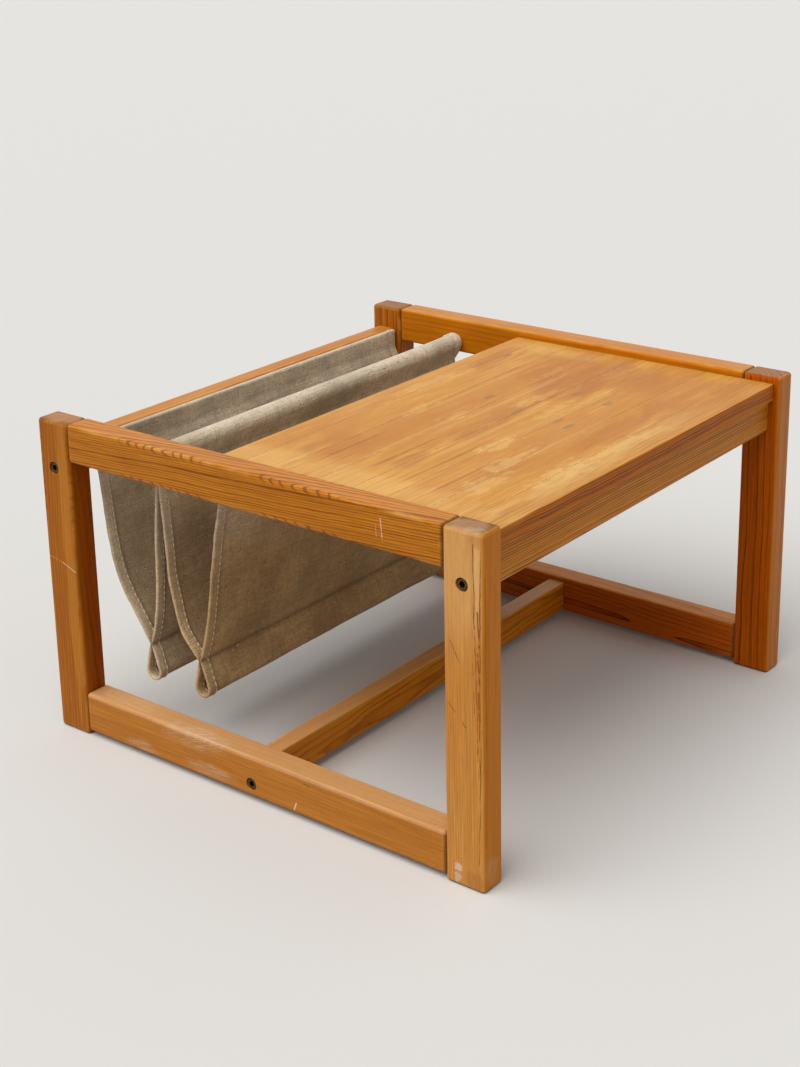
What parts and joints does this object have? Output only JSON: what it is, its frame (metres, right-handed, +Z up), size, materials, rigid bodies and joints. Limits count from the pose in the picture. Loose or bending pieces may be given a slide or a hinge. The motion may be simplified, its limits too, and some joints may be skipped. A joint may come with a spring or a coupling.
{
  "type": "magazine table with rack",
  "caption": "Low pine side table: end frames of legs and rails, bolted cross members, a glued board top and a canvas sling with magazine pockets hung beside it on a rod.",
  "frame": {"origin": "on the floor under the middle of the table", "axes": "+Z up; +Y along the cross members, from the near end frame to the far one; +X along the end frames, from the rack to the outer edge of the top"},
  "size_m": [0.58, 0.6, 0.362],
  "materials": {
    "pine_frame": "satin lacquer",
    "pine_member": "satin lacquer",
    "pine_board": "worn satin lacquer",
    "pine_rod": "bare",
    "tacking_strip": "bare",
    "beech_dowel": "bare",
    "bronzed_steel": "bronzed",
    "plated_steel": "zinc plated",
    "canvas": "coarse plain weave"
  },
  "bodies": {
    "table": {"leg_rack_near": "pine_frame", "leg_rack_far": "pine_frame", "leg_top_near": "pine_frame", "leg_top_far": "pine_frame", "upper_rail_near": "pine_frame", "upper_rail_far": "pine_frame", "lower_rail_near": "pine_frame", "lower_rail_far": "pine_frame", "frame_dowels_near": "beech_dowel", "frame_dowels_far": "beech_dowel", "locating_dowels": "beech_dowel", "rack_rail": "pine_member", "top_apron": "pine_member", "top_cleat": "pine_member", "stretcher": "pine_member", "stave_1": "pine_board", "stave_2": "pine_board", "stave_3": "pine_board", "stave_4": "pine_board", "stave_5": "pine_board", "stave_6": "pine_board", "stave_7": "pine_board", "stave_8": "pine_board", "connector_bolts": "bronzed_steel", "barrel_nuts": "plated_steel", "top_screws": "plated_steel", "tacks": "plated_steel", "canvas_sling": "canvas", "tack_strip_rack": "tacking_strip", "tack_strip_top": "tacking_strip"},
    "rod": {"rack_rod": "pine_rod"}
  },
  "joints": [
    {"name": "rod_turn", "type": "hinge", "parent": "table", "child": "rod", "pos_m": [-0.158, 0, 0.3318], "axis": [0, 1, 0], "continuous": true}
  ]
}
